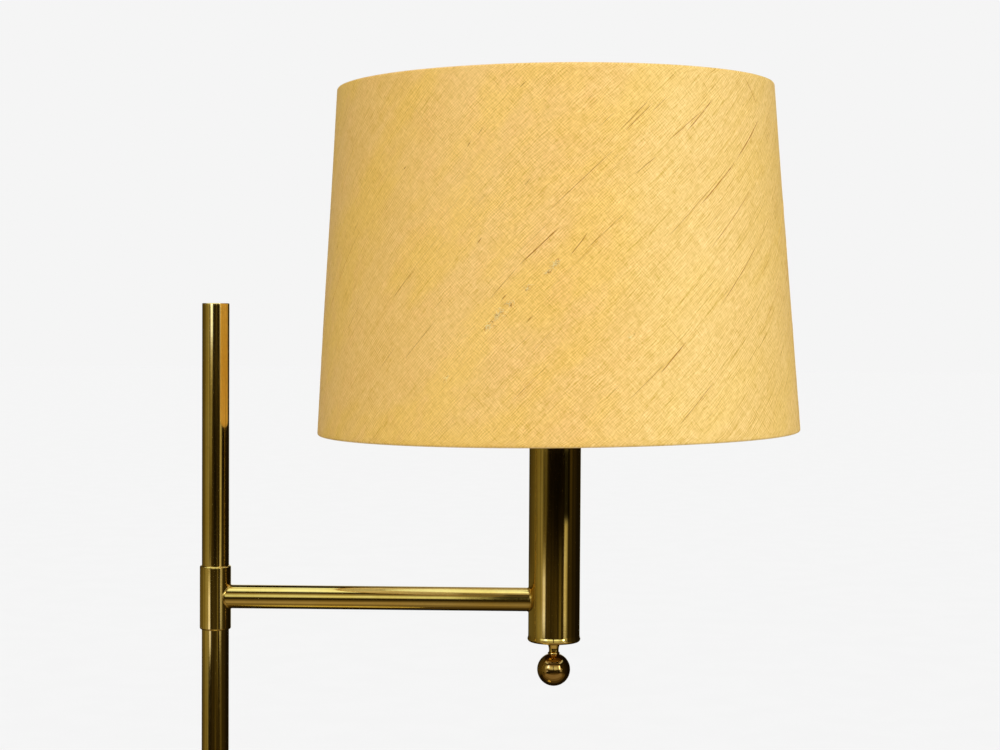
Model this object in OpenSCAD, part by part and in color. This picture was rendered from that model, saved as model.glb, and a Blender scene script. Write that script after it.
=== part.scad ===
// Bridge floor lamp: weighted round base, brass post, swivelling cross arm with a
// vertical head tube, ball knob below the head and a tapered fabric shade above it.
// Millimetres. Origin: centre of the base on the floor, +Z up, arm along +X.

/* [Base] */
// Outer diameter of the round base
base_d = 280; // [260:5:320]
// Height of the base from the floor to its top face
base_h = 24; // [24:1:30]

/* [Post] */
// Height of the cross arm's centre line above the floor
arm_height = 1000; // [900:10:1150]
// Length of post standing above the arm's centre line
post_above = 276; // [150:1:320]
// Outer diameter of both post tubes
post_d = 25.4; // [25:0.1:25.4]
// Wall of both post tubes
post_wall = 1.5; // [1.5:0.1:1.6]

/* [Arm] */
// Distance from the post's axis to the head's axis
reach = 319; // [290:1:360]
// Outer diameter of the arm tube
arm_d = 22.2; // [19:0.1:22.2]
// Wall of the arm tube
arm_wall = 1.2; // [1:0.1:1.5]
// Outer diameter of the collar that turns on the post
collar_d = 29.2; // [29.2:0.1:30]
// Part of the collar above the arm's centre line
collar_up = 29.4; // [28:0.1:32]
// Part of the collar below the arm's centre line
collar_down = 30.7; // [29:0.1:33]

/* [Head] */
// Outer diameter of the head tube
head_d = 48.4; // [48:0.1:50]
// Wall of the head tube
head_wall = 1.2; // [1:0.1:1.2]
// Top of the head tube above the arm's centre line
head_up = 172; // [165:1:180]
// Diameter of the ball knob
ball_d = 31; // [26:0.5:32]

/* [Shade] */
// Outer diameter of the shade at its top rim
shade_top_d = 404; // [380:1:410]
// Outer diameter of the shade at its bottom rim
shade_bottom_d = 448.5; // [440:0.5:460]
// Slant-free height of the shade
shade_h = 319.5; // [300:0.1:340]
// Height of the bottom rim above the arm's centre line
shade_drop = 158; // [154:1:162]
// Lean of the shade towards the post, in degrees
shade_lean = 0.9; // [0:0.1:2]
// How far the shade's bottom rim sits off the head's axis, away from the post
shade_offset = 2.5; // [0:0.5:4]

/* [Hidden] */
$fn = 96;

// Colours of the visible finishes
brass = [0.66, 0.50, 0.20];
steel = [0.62, 0.63, 0.65];
silk = [0.94, 0.78, 0.45];

post_r = post_d / 2;
post_ir = post_r - post_wall;
head_r = head_d / 2;
head_ir = head_r - head_wall;
collar_r = collar_d / 2;
// Radial running clearance of the collar on the post coupling
collar_gap = 0.08;
A = arm_height;
// Seat of the lampholder on the head's closing plate
holder_z = A + head_up + 2;
// Underside of the end cap
cap_z = A - 39;
// Middle of the ball knob, and the radius of its flat seat for the neck
ball_z = A - 65.5;
seat_r = 5;
// Shade rim radii, wall layers and wire
rb = shade_bottom_d / 2;
rt = shade_top_d / 2;
taper = (rb - rt) / shade_h;
silk_t = 0.6;
back_t = 0.4;
wire_r = 1.3;
// Inset of the wires' centres from the rim radii, which the taper makes unequal
wire_in = 2.6;
wire_in_top = 2.3;
hem = 9;
// Height of the fitter plate between the two shade rings
fitter_z = holder_z + 34;
// Angles of the three carrier arms about the head's axis
carrier_angles = [30, 150, 270];

// Point of the leaning shade, given as radius, angle and height in the shade's own frame
function shade_point(r, a, h) = let(x = r * cos(a), y = r * sin(a))
    [reach + shade_offset + x * cos(shade_lean) - h * sin(shade_lean),
     y,
     A + shade_drop + x * sin(shade_lean) + h * cos(shade_lean)];

module on_head() { translate([reach, 0, 0]) children(); }
module on_shade() {
    translate([reach + shade_offset, 0, A + shade_drop]) rotate([0, -shade_lean, 0]) children();
}
// Straight round rod from p to q
module rod(p, q, d) {
    v = q - p;
    l = norm(v);
    translate(p) rotate([0, acos(v[2] / l), atan2(v[1], v[0])]) cylinder(h = l, d = d, $fn = 32);
}
// Hexagonal nut, measured across the flats, chamfered both ends, with a plain bore
module hex_nut(af, h, bore) {
    difference() {
        intersection() {
            cylinder(h = h, d = af / cos(30), $fn = 6);
            rotate_extrude($fn = 64) polygon([[0, 0], [af / 2 + 0.1, 0], [af * 0.58, 0.5], [af * 0.58, h - 0.5], [af / 2 + 0.1, h], [0, h]]);
        }
        translate([0, 0, -1]) cylinder(h = h + 2, d = bore);
    }
}
// Plain tube
module tube(r, ir, z0, z1) {
    difference() {
        translate([0, 0, z0]) cylinder(h = z1 - z0, r = r);
        translate([0, 0, z0 - 1]) cylinder(h = z1 - z0 + 2, r = ir);
    }
}
// Quarter round, centre c, radius r, from angle a0 to a1, as points of a profile
function arc(c, r, a0, a1, n = 6) = [for (i = [0:n]) let(a = a0 + (a1 - a0) * i / n) [c[0] + r * cos(a), c[1] + r * sin(a)]];

// ---- Base ----
module base_felt() {
    color([0.16, 0.22, 0.16]) rotate_extrude($fn = 128)
        polygon([[0, 0], [base_d / 2 - 4.5, 0], [base_d / 2 - 4, 0.5], [base_d / 2 - 4, 3], [0, 3]]);
}

module base_weight() {
    color([0.22, 0.22, 0.23]) difference() {
        rotate_extrude($fn = 128)
            polygon([[6.7, 3], [base_d / 2 - 3, 3], [base_d / 2 - 3, base_h - 10], [base_d / 2 - 10, base_h - 1.4], [6.7, base_h - 1.4]]);
        // recess for the nut, and the channel that takes the supply lead to the rim
        translate([0, 0, 2]) cylinder(h = 12, d = 44);
        translate([-base_d / 2, -4.5, 2]) cube([base_d / 2, 9, 12]);
        translate([-base_d / 2 - 1, 0, 9]) rotate([0, 90, 0]) cylinder(h = 16, d = 10.4);
    }
}

module base_cover() {
    t = 1.4;
    r = base_d / 2;
    color(brass) difference() {
        rotate_extrude($fn = 128) polygon(concat(
            [[6.7, base_h]],
            arc([r - 6, base_h - 6], 6, 90, 0),
            [[r, 1.9]], arc([r - 0.4, 1.9], 0.4, 0, -90, 2), [[r - t, 1.5]],
            [[r - t, base_h - 9.4]],
            [[r - 9.4 , base_h - t], [6.7, base_h - t]]));
        translate([-r - 1, 0, 9]) rotate([0, 90, 0]) cylinder(h = 8, d = 10.4);
    }
}

module base_washer() {
    color(steel) difference() {
        translate([0, 0, 11.5]) cylinder(h = 2.5, d = 34);
        translate([0, 0, 10]) cylinder(h = 6, d = 13.4);
    }
}

module base_nut() {
    color(steel) translate([0, 0, 5.9]) hex_nut(19, 5.6, 13);
}

// Flanged bush in the rim, where the supply lead enters
module cable_bush() {
    color([0.08, 0.07, 0.06]) translate([-base_d / 2, 0, 9]) rotate([0, 90, 0]) difference() {
        rotate_extrude($fn = 48) polygon(concat(
            [[3.6, -1.8]], [[6, -1.8]], arc([6.6, -0.9], 0.9, -90, 0, 4), [[7.5, 0], [5.2, 0], [5.2, 13], [3.6, 13]]));
        translate([0, 0, -3]) cylinder(h = 20, d = 7.2, $fn = 48);
    }
}

// ---- Post ----
module post_foot() {
    color(brass) rotate_extrude() polygon(concat(
        [[4.5, 4.5], [6.5, 4.5], [6.5, base_h], [22, base_h]],
        [[22, base_h + 4]], arc([20, base_h + 4], 2, 0, 90, 5),
        [[post_ir, base_h + 6], [post_ir, base_h + 46], [4.5, base_h + 46]]));
}

module lower_post() { color(brass) tube(post_r, post_ir, base_h + 6, A - 25); }

// Turned spool that joins the two tubes inside the collar and carries it
module post_coupling() {
    color([0.60, 0.46, 0.20]) difference() {
        rotate_extrude() polygon([
            [5.5, A - 55], [post_ir, A - 55], [post_ir, A - 25], [post_r, A - 25], [post_r, A - 20],
            [10.2, A - 20], [10.2, A - 16], [post_r, A - 16], [post_r, A - 9],
            [8.5, A - 9], [8.5, A + 9], [post_r, A + 9], [post_r, A + 20],
            [post_ir, A + 20], [post_ir, A + 50], [0, A + 50], [0, A + 8], [5.5, A + 8]]);
        // window that lets the lead out of the spool's neck into the lead groove
        translate([0, -3.5, A - 7]) cube([12, 7, 13]);
        // hole for the stop pin
        translate([0, -8, A - 18]) rotate([90, 0, 0]) cylinder(h = 6, d = 2, $fn = 32);
    }
}

module stop_pin() {
    color(steel) translate([0, -8, A - 18]) rotate([90, 0, 0]) cylinder(h = 4.3, d = 2, $fn = 32);
}

module upper_post() { color(brass) tube(post_r, post_ir, A + 20, A + post_above - 2); }

module post_cap() {
    z = A + post_above;
    color(brass) rotate_extrude() polygon(concat(
        [[0, z]], arc([post_r - 0.7, z - 0.7], 0.7, 90, 0, 4),
        [[post_r, z - 2], [post_ir, z - 2], [post_ir, z - 12], [post_ir - 1.5, z - 12], [post_ir - 1.5, z - 3], [0, z - 3]]));
}

// ---- Arm ----
module collar_sleeve() {
    z0 = A - collar_down;
    z1 = A + collar_up;
    ir = post_r + collar_gap;
    color(brass) difference() {
        rotate_extrude() polygon(concat(
            [[ir, z1 - 0.2], [ir + 0.2, z1]],
            arc([collar_r - 1.6, z1 - 1.6], 1.6, 90, 0),
            arc([collar_r - 1.6, z0 + 1.6], 1.6, 0, -90),
            [[ir + 0.2, z0], [ir, z0 + 0.2]]));
        // lead passage into the arm, and the tapped hole of the retaining screw
        translate([0, 0, A]) rotate([0, 90, 0]) cylinder(h = 20, d = 12, $fn = 64);
        translate([0, 0, A - 18]) rotate([-90, 0, 0]) cylinder(h = 20, d = 4, $fn = 48);
    }
}

// Grub screw whose dog point runs in the coupling's groove
module collar_screw() {
    color([0.10, 0.10, 0.10]) translate([0, 0, A - 18]) rotate([-90, 0, 0]) difference() {
        union() {
            translate([0, 0, 12.8]) cylinder(h = 1.3, d = 4, $fn = 48);
            translate([0, 0, 10.6]) cylinder(h = 2.2, d = 3.6, $fn = 48);
        }
        translate([0, 0, 12.6]) cylinder(h = 3, d = 2 / cos(30), $fn = 6);
    }
}

module arm_tube() {
    color(brass) difference() {
        translate([0, 0, A]) rotate([0, 90, 0]) cylinder(h = reach, d = arm_d);
        translate([-1, 0, A]) rotate([0, 90, 0]) cylinder(h = reach + 2, d = arm_d - 2 * arm_wall);
        translate([0, 0, A - 40]) cylinder(h = 80, r = collar_r);
        translate([reach, 0, A - 40]) cylinder(h = 80, r = head_r);
    }
}

// ---- Head ----
module head_tube() {
    color(brass) difference() {
        translate([reach, 0, 0]) tube(head_r, head_ir, cap_z + 6.2, A + head_up);
        translate([reach - head_r - 5, 0, A]) rotate([0, 90, 0]) cylinder(h = 12, d = 12, $fn = 64);
    }
}

module head_end_cap() {
    z = cap_z;
    r = head_r;
    color(brass) on_head() rotate_extrude() polygon(concat(
        [[5, z], [r - 2.6, z]],
        arc([r - 1.9, z + 2.6], 2.6, -90, 30, 8),
        [[r + 0.05, z + 5.4], [r, z + 6.2], [head_ir, z + 6.2], [head_ir, z + 15], [20, z + 15], [20, z + 3], [5, z + 3]]));
}

module switch_nut() {
    color(steel) on_head() translate([0, 0, cap_z + 3]) hex_nut(14, 2.5, 10);
}

module switch_body() {
    z = cap_z;
    color([0.10, 0.09, 0.08]) on_head() rotate_extrude() polygon([
        [3.05, z], [5, z], [5, z + 5.5], [16, z + 5.5], [17, z + 6.5], [17, z + 24.5],
        [16, z + 25.5], [0, z + 25.5], [0, z + 20], [3.05, z + 20]]);
}

module switch_terminals() {
    color([0.75, 0.60, 0.30]) on_head() for (s = [-1, 1]) translate([s * 1.8, 0, cap_z + 25.5])
        difference() {
            translate([-1.5, -3, 0]) cube([3, 6, 5]);
            translate([0, 0, 2]) cylinder(h = 4, d = 2.2, $fn = 32);
        }
}

// Straight insulated wire from a switch terminal up through the nipple to the lampholder
module lead(s) { on_head() translate([s * 1.8, 0, cap_z + 27.5]) cylinder(h = holder_z + 10 - cap_z - 27.5, d = 2.2, $fn = 32); }
module lead_live() { color([0.36, 0.20, 0.10]) lead(-1); }
module lead_neutral() { color([0.10, 0.22, 0.55]) lead(1); }

module head_top_plate() {
    z = A + head_up;
    color(brass) on_head() rotate_extrude() polygon(concat(
        [[5.1, z + 2]], arc([head_r - 0.6, z + 1.4], 0.6, 90, 0, 4),
        [[head_r, z], [head_ir, z], [head_ir, z - 6], [head_ir - 2, z - 6], [head_ir - 2, z], [5.1, z]]));
}

module nipple() {
    color(steel) on_head() tube(5, 3.5, A + head_up - 8, holder_z + 7);
}

module nipple_nut() {
    color(steel) on_head() translate([0, 0, A + head_up - 3]) hex_nut(14, 3, 10);
}

// ---- Lampholder ----
module lampholder_cap() {
    z = holder_z;
    color([0.07, 0.07, 0.07]) on_head() rotate_extrude() polygon(concat(
        [[5, z], [12, z]], arc([17.2, z + 2], 2, -90, 0, 4),
        [[19.2, z + 20], [17.4, z + 20], [17.4, z + 3], [5, z + 3]]));
}

module lampholder_body() {
    z = holder_z;
    // outer sleeve with shallow thread ridges that the two shade rings ride on
    ridges = [for (i = [0:13]) each [[19.8, z + 22.4 + 2.4 * i], [19.5, z + 23.6 + 2.4 * i]]];
    color([0.07, 0.07, 0.07]) on_head() rotate_extrude() polygon(concat(
        [[17, z + 20], [19.2, z + 20]], ridges,
        [[19.2, z + 57], [18.6, z + 58], [15.2, z + 58], [15.2, z + 55.5], [17, z + 54.5]]));
}

module lampholder_insert() {
    z = holder_z;
    color([0.90, 0.88, 0.82]) on_head() difference() {
        translate([0, 0, z + 10]) cylinder(h = 18, r = 16.8);
        for (s = [-1, 1]) translate([s * 9, 0, z + 8]) cylinder(h = 7, d = 3.2, $fn = 32);
    }
}

module lampholder_screws() {
    color([0.75, 0.60, 0.30]) on_head() for (s = [-1, 1]) translate([s * 9, 0, holder_z + 8.4]) difference() {
        union() {
            cylinder(h = 1.6, d = 5.4, $fn = 32);
            translate([0, 0, 1.6]) cylinder(h = 5, d = 3.2, $fn = 32);
        }
        translate([-3, -0.4, -0.1]) cube([6, 0.8, 0.8]);
    }
}

module lampholder_shell() {
    z = holder_z + 28;
    color([0.80, 0.66, 0.34]) on_head() rotate_extrude() polygon(concat(
        [[11, z], [14.9, z]],
        [for (i = [0:8]) [i % 2 == 0 ? 14.9 : 14.4, z + 3 + 2.2 * i]],
        [[14.9, z + 22], [14.4, z + 22]],
        [for (i = [8:-1:0]) [i % 2 == 0 ? 14.4 : 13.9, z + 3 + 2.2 * i]],
        [[14.4, z + 0.5], [11, z + 0.5]]));
}

module lampholder_contact() {
    color([0.80, 0.66, 0.34]) on_head() {
        translate([0, 0, holder_z + 28]) cylinder(h = 1.6, d = 8, $fn = 48);
    }
}

// Round ring with a scalloped grip, threaded on the lampholder's sleeve
module shade_ring(z) {
    on_head() difference() {
        rotate_extrude() polygon(concat(
            [[19.9, z]], [[27, z]], arc([27.4, z + 0.8], 0.8, -60, 60, 4),
            [[24.4, z + 3], [23, z + 8], [19.9, z + 8]]));
        for (i = [0:17]) rotate([0, 0, i * 20]) translate([29.4, 0, z - 1]) cylinder(h = 10, r = 2, $fn = 24);
    }
}
module shade_ring_lower() {
    color([0.07, 0.07, 0.07]) translate([0, 0, 2 * fitter_z]) mirror([0, 0, 1]) shade_ring(fitter_z);
}
module shade_ring_upper() { color([0.07, 0.07, 0.07]) shade_ring(fitter_z + 2); }

// ---- Shade ----
module carrier_arm(a, d) {
    rod([reach + 26 * cos(a), 26 * sin(a), fitter_z + 1],
        shade_point(rb - wire_in, a, 2), d);
}

// Fitter plate, three arms and the bottom wire, brazed into one
module shade_carrier() {
    color([0.85, 0.85, 0.86]) union() {
        on_head() difference() {
            translate([0, 0, fitter_z]) cylinder(h = 2, d = 60);
            translate([0, 0, fitter_z - 1]) cylinder(h = 4, d = 40.4);
        }
        difference() {
            for (a = carrier_angles) carrier_arm(a, 3.6);
            on_head() translate([0, 0, fitter_z - 3]) cylinder(h = 7, r = 28.6);
        }
        on_shade() rotate_extrude($fn = 128) translate([rb - wire_in, 2]) circle(r = wire_r, $fn = 32);
    }
}

module shade_top_ring() {
    color([0.85, 0.85, 0.86]) on_shade() rotate_extrude($fn = 128)
        translate([rt - wire_in_top, shade_h - 2]) circle(r = wire_r, $fn = 32);
}

// Stiff inner film that the cloth is bonded to
module shade_backing() {
    color([0.97, 0.95, 0.90]) on_shade() rotate_extrude($fn = 128) polygon([
        [rb - silk_t - back_t - taper * 0.6, 0.6], [rb - silk_t - taper * 0.6, 0.6],
        [rt - silk_t + taper * 0.6, shade_h - 0.6], [rt - silk_t - back_t + taper * 0.6, shade_h - 0.6]]);
}

// Cloth over the film, turned over both wires
module shade_fabric() {
    f = 4.4;
    color(silk) difference() {
        on_shade() rotate_extrude($fn = 128) polygon([
            [rb - f, 0], [rb, 0], [rt, shade_h], [rt - f, shade_h],
            [rt - f + taper * hem, shade_h - hem], [rt - f + 0.5 + taper * hem, shade_h - hem],
            [rt - f + 0.5, shade_h - 0.6],
            [rt - silk_t + taper * 0.6, shade_h - 0.6], [rb - silk_t - taper * 0.6, 0.6],
            [rb - f + 0.5, 0.6], [rb - f + 0.5 - taper * hem, hem], [rb - f - taper * hem, hem]]);
        // slits in the hem where the carrier's arms pass
        for (a = carrier_angles) carrier_arm(a, 4.4);
    }
}

// ---- Bulb ----
module bulb_contact() {
    color(steel) on_head() rotate_extrude($fn = 48) polygon([[0, holder_z + 29.6], [3.5, holder_z + 29.6], [4.8, holder_z + 31.6], [0, holder_z + 31.6]]);
}
module bulb_insulator() {
    color([0.05, 0.05, 0.06]) on_head() rotate_extrude($fn = 48) polygon([[0, holder_z + 31.6], [4.8, holder_z + 31.6], [11.6, holder_z + 35], [11.6, holder_z + 37], [0, holder_z + 37]]);
}
module bulb_cap() {
    z = holder_z + 35;
    color([0.78, 0.78, 0.79]) on_head() rotate_extrude($fn = 64) polygon(concat(
        [[11.6, z]], [for (i = [0:8]) [i % 2 == 0 ? 12.3 : 13.1, z + 1.5 + 2 * i]],
        [[13.2, z + 19.5], [13.2, z + 23], [12.8, z + 23], [12.8, z + 19.5]],
        [for (i = [8:-1:0]) [i % 2 == 0 ? 11.9 : 12.7, z + 1.5 + 2 * i]],
        [[11.6, z + 1]]));
}
// Half profile of the envelope: neck, shoulder and round crown
function bulb_line(o, z, n = 14) = concat(
    [[12.7 - o, z]],
    [for (i = [0:5]) let(t = i / 5, s = t * t * (3 - 2 * t)) [12.7 + 9.5 * s - o, z + 4 + 21 * t]],
    [for (i = [1:n]) let(a = -42 + 132 * i / n) [(30 - o) * cos(a), z + 45 + (30 - o) * sin(a)]]);
module bulb_glass() {
    z = holder_z + 55;
    outer = bulb_line(0, z);
    inner = bulb_line(0.9, z);
    m = len(inner);
    color([0.97, 0.96, 0.93]) on_head() rotate_extrude($fn = 96) polygon(concat(
        outer, [for (i = [m - 1:-1:0]) inner[i]]));
}

// ---- Knob ----
module switch_shaft() {
    color(steel) on_head() translate([0, 0, ball_z - 4]) cylinder(h = cap_z + 19.5 - ball_z + 4, d = 6, $fn = 64);
}
module knob_neck() {
    z0 = ball_z + sqrt(ball_d * ball_d / 4 - seat_r * seat_r);
    z1 = cap_z - 0.4;
    color(brass) on_head() rotate_extrude() polygon(concat(
        [[3, z0], [seat_r, z0]], arc([seat_r, z0 + 0.7], 0.7, -60, 60, 4), [[seat_r - 0.3, z0 + 1.9]],
        [[seat_r - 0.4, z0 + 3.4]],
        [for (i = [0:5]) let(t = i / 5) [seat_r - 0.35 + 2.5 * t * t, z0 + 4 + (z1 - z0 - 4.3) * t]],
        [[seat_r + 1.9, z1], [3, z1]]));
}
module knob_ball() {
    color(brass) on_head() difference() {
        translate([0, 0, ball_z]) sphere(d = ball_d, $fn = 96);
        translate([0, 0, ball_z - 4]) cylinder(h = 30, r = 3, $fn = 64);
        // flat seat of the neck
        translate([0, 0, ball_z + sqrt(ball_d * ball_d / 4 - seat_r * seat_r)]) cylinder(h = 10, r = 10);
        // tapped hole of the clamping screw, on the side away from the arm's front
        translate([0, 0, ball_z + 2]) rotate([-90, 0, 0]) cylinder(h = 20, d = 3, $fn = 32);
    }
}
module knob_screw() {
    color([0.10, 0.10, 0.10]) on_head() translate([0, 3, ball_z + 2]) rotate([-90, 0, 0]) difference() {
        cylinder(h = 9, d = 3, $fn = 32);
        translate([0, 0, 7.5]) cylinder(h = 3, d = 1.5 / cos(30), $fn = 6);
    }
}

base_felt();
base_weight();
base_cover();
base_washer();
base_nut();
cable_bush();
post_foot();
lower_post();
post_coupling();
stop_pin();
upper_post();
post_cap();
collar_sleeve();
collar_screw();
arm_tube();
head_tube();
head_end_cap();
switch_nut();
switch_body();
switch_terminals();
lead_live();
lead_neutral();
head_top_plate();
nipple();
nipple_nut();
lampholder_cap();
lampholder_body();
lampholder_insert();
lampholder_screws();
lampholder_shell();
lampholder_contact();
shade_ring_lower();
shade_ring_upper();
shade_carrier();
shade_top_ring();
shade_backing();
shade_fabric();
bulb_contact();
bulb_insulator();
bulb_cap();
bulb_glass();
switch_shaft();
knob_neck();
knob_ball();
knob_screw();
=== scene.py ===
import math
import random

import bpy
from mathutils import Matrix, Vector


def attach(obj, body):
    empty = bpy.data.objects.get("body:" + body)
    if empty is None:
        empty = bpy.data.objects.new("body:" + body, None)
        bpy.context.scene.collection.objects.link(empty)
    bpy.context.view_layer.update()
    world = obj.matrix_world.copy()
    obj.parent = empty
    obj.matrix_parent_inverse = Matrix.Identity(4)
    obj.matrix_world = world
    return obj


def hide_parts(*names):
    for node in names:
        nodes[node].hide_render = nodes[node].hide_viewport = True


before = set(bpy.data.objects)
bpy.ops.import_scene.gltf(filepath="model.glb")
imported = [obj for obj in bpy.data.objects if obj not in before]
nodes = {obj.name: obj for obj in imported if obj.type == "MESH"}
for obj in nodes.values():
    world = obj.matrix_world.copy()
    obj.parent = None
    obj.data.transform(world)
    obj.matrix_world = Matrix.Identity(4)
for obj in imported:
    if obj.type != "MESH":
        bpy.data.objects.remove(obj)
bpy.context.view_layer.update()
scene = bpy.context.scene
scene.view_settings.view_transform = "Standard"

# ---------------------------------------------------------------- camera
cam_data = bpy.data.cameras.new("Camera")
cam = bpy.data.objects.new("Camera", cam_data)
scene.collection.objects.link(cam)
scene.camera = cam
cam_data.sensor_fit = "HORIZONTAL"
cam_data.sensor_width = 36.0
cam_data.lens = 71.46
cam_data.clip_start, cam_data.clip_end = 0.05, 200
turn = (
    Matrix.Rotation(math.radians(1.54), 4, "Z")
    @ Matrix.Rotation(math.radians(-1.92), 4, "X")
    @ Matrix.Rotation(math.radians(-0.36), 4, "Y")
    @ Matrix.Rotation(math.radians(90), 4, "X")
)
cam.matrix_world = Matrix.Translation((0.31675, -1.8545, 1.2727)) @ turn

# ---------------------------------------------------------------- shade's shape, as in the frame
REACH, OFFSET, SHADE_Z = 0.319, 0.0025, 1.158
RB, RT, SH = 0.22425, 0.202, 0.3195
LEAN = math.radians(0.9)
SLANT = math.hypot(SH, RB - RT)
SIN_B = (RB - RT) / SLANT
COS_B = SH / SLANT
APEX = RB / SIN_B  # from the cone's tip to the bottom edge, along the cloth
HEM = 0.009


def to_world(x, y, h):
    return Vector(
        (
            REACH + OFFSET + x * math.cos(LEAN) - h * math.sin(LEAN),
            y,
            SHADE_Z + x * math.sin(LEAN) + h * math.cos(LEAN),
        )
    )


def on_drum(theta, h, out=0.0):
    """Point on the shade: theta from the front line towards +X, height h, and out from the cloth."""
    r = RB + (RT - RB) * h / SH + out * COS_B
    return to_world(r * math.sin(theta), -r * math.cos(theta), h + out * SIN_B)


def from_flat(x, y):
    """Flat cut (x right of the front line, y up from the bottom edge) to (theta, height)."""
    s = math.hypot(x, APEX - y)
    return math.atan2(x, APEX - y) / SIN_B, (APEX - s) * COS_B


def to_flat(theta, h):
    s, psi = APEX - h / COS_B, theta * SIN_B
    return s * math.sin(psi), APEX - s * math.cos(psi)


# ---------------------------------------------------------------- node helpers
def srgb(r, g, b):
    out = []
    for v in (r, g, b):
        v /= 255.0
        out.append(v / 12.92 if v <= 0.04045 else ((v + 0.055) / 1.055) ** 2.4)
    return tuple(out)


class Tree:
    """A short way to write node trees."""

    def __init__(self, tree):
        self.t = tree
        self.t.nodes.clear()

    def node(self, kind, **props):
        n = self.t.nodes.new(kind)
        for k, v in props.items():
            setattr(n, k, v)
        return n

    def put(self, socket, value):
        if isinstance(value, bpy.types.NodeSocket):
            self.t.links.new(value, socket)
        elif hasattr(value, "__len__") and len(value) == 3 and socket.type == "RGBA":
            socket.default_value = (*value, 1.0)
        else:
            socket.default_value = value

    def math(self, op, a, b=None, c=None, clamp=False):
        n = self.node("ShaderNodeMath", operation=op, use_clamp=clamp)
        self.put(n.inputs[0], a)
        if b is not None:
            self.put(n.inputs[1], b)
        if c is not None:
            self.put(n.inputs[2], c)
        return n.outputs[0]

    def add(self, *a):
        r = a[0]
        for x in a[1:]:
            r = self.math("ADD", r, x)
        return r

    def mul(self, *a):
        r = a[0]
        for x in a[1:]:
            r = self.math("MULTIPLY", r, x)
        return r

    def vec(self, op, a, b=None, out=0):
        n = self.node("ShaderNodeVectorMath", operation=op)
        self.put(n.inputs[0], a)
        if b is not None:
            self.put(n.inputs[3] if op == "SCALE" else n.inputs[1], b)
        return n.outputs[out]

    def split(self, v):
        n = self.node("ShaderNodeSeparateXYZ")
        self.put(n.inputs[0], v)
        return n.outputs

    def join(self, x=0.0, y=0.0, z=0.0):
        n = self.node("ShaderNodeCombineXYZ")
        for i, v in enumerate((x, y, z)):
            self.put(n.inputs[i], v)
        return n.outputs[0]

    def ramp(self, v, lo, hi, out_lo=0.0, out_hi=1.0, smooth=True):
        n = self.node(
            "ShaderNodeMapRange",
            interpolation_type="SMOOTHSTEP" if smooth else "LINEAR",
            clamp=True,
        )
        self.put(n.inputs["Value"], v)
        self.put(n.inputs["From Min"], lo)
        self.put(n.inputs["From Max"], hi)
        self.put(n.inputs["To Min"], out_lo)
        self.put(n.inputs["To Max"], out_hi)
        return n.outputs[0]

    def mix(self, f, a, b, mode="MIX"):
        n = self.node("ShaderNodeMix", data_type="RGBA", blend_type=mode)
        n.clamp_factor = True
        self.put(n.inputs[0], f)
        self.put(n.inputs[6], a)
        self.put(n.inputs[7], b)
        return n.outputs[2]

    def noise(self, v, scale=1.0, detail=2.0, rough=0.5, distortion=0.0):
        n = self.node("ShaderNodeTexNoise")
        self.put(n.inputs["Vector"], v)
        n.inputs["Scale"].default_value = scale
        n.inputs["Detail"].default_value = detail
        n.inputs["Roughness"].default_value = rough
        n.inputs["Distortion"].default_value = distortion
        return n.outputs[0]

    def cells(self, v, scale, feature="F1"):
        n = self.node("ShaderNodeTexVoronoi", feature=feature)
        self.put(n.inputs["Vector"], v)
        n.inputs["Scale"].default_value = scale
        return n.outputs

    def bump(self, height, strength, distance, normal=None):
        n = self.node("ShaderNodeBump")
        self.put(n.inputs["Strength"], strength)
        self.put(n.inputs["Distance"], distance)
        self.put(n.inputs["Height"], height)
        if normal is not None:
            self.put(n.inputs["Normal"], normal)
        return n.outputs[0]

    def place(self):
        return self.node("ShaderNodeTexCoord").outputs["Object"]

    def scaled(self, v, x, y, z):
        return self.vec("MULTIPLY", v, self.join(x, y, z))


def material(name, fill):
    m = bpy.data.materials.new(name)
    m.use_nodes = True
    t = Tree(m.node_tree)
    out = t.node("ShaderNodeOutputMaterial")
    bsdf = t.node("ShaderNodeBsdfPrincipled")
    t.t.links.new(bsdf.outputs[0], out.inputs[0])
    fill(t, bsdf.inputs)
    return m


# ---------------------------------------------------------------- world: what the brass sees
BRASS = (0.88, 0.64, 0.21)


def gold(r, g, b):
    """Radiance that polished brass shows as this screen colour."""
    return tuple(v / c for v, c in zip(srgb(r, g, b), BRASS))


world = bpy.data.worlds.new("Studio")
scene.world = world
world.use_nodes = True
world.cycles.sampling_method = "NONE"
w = Tree(world.node_tree)
ray = w.split(w.node("ShaderNodeTexCoord").outputs["Generated"])
azimuth = w.mul(
    w.math("ARCTAN2", ray[0], w.math("MULTIPLY", ray[1], -1.0)), 180 / math.pi
)
elevation = w.mul(w.math("ARCSINE", ray[2]), 180 / math.pi)
around = w.math("ABSOLUTE", azimuth)
# angle about the X axis: 0 level towards the front, 90 straight up, 180 level behind
pitch = w.mul(
    w.math("ARCTAN2", ray[2], w.math("MULTIPLY", ray[1], -1.0)), 180 / math.pi
)


def between(v, lo, hi, soft):
    """1 from lo to hi, with edges soft wide."""
    up = w.ramp(v, lo - soft / 2, lo + soft / 2)
    down = w.ramp(v, hi - soft / 2, hi + soft / 2, 1.0, 0.0)
    return w.mul(up, down)


def level(red, warm=1.0):
    """A warm room tone that brass shows with this red value."""
    f = red / 255.0
    return gold(red, 226 * warm * f**1.14, 255 * f * (0.06 + 0.56 * f**1.3))


colour = w.mix(0.0, level(36), level(36))


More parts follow.
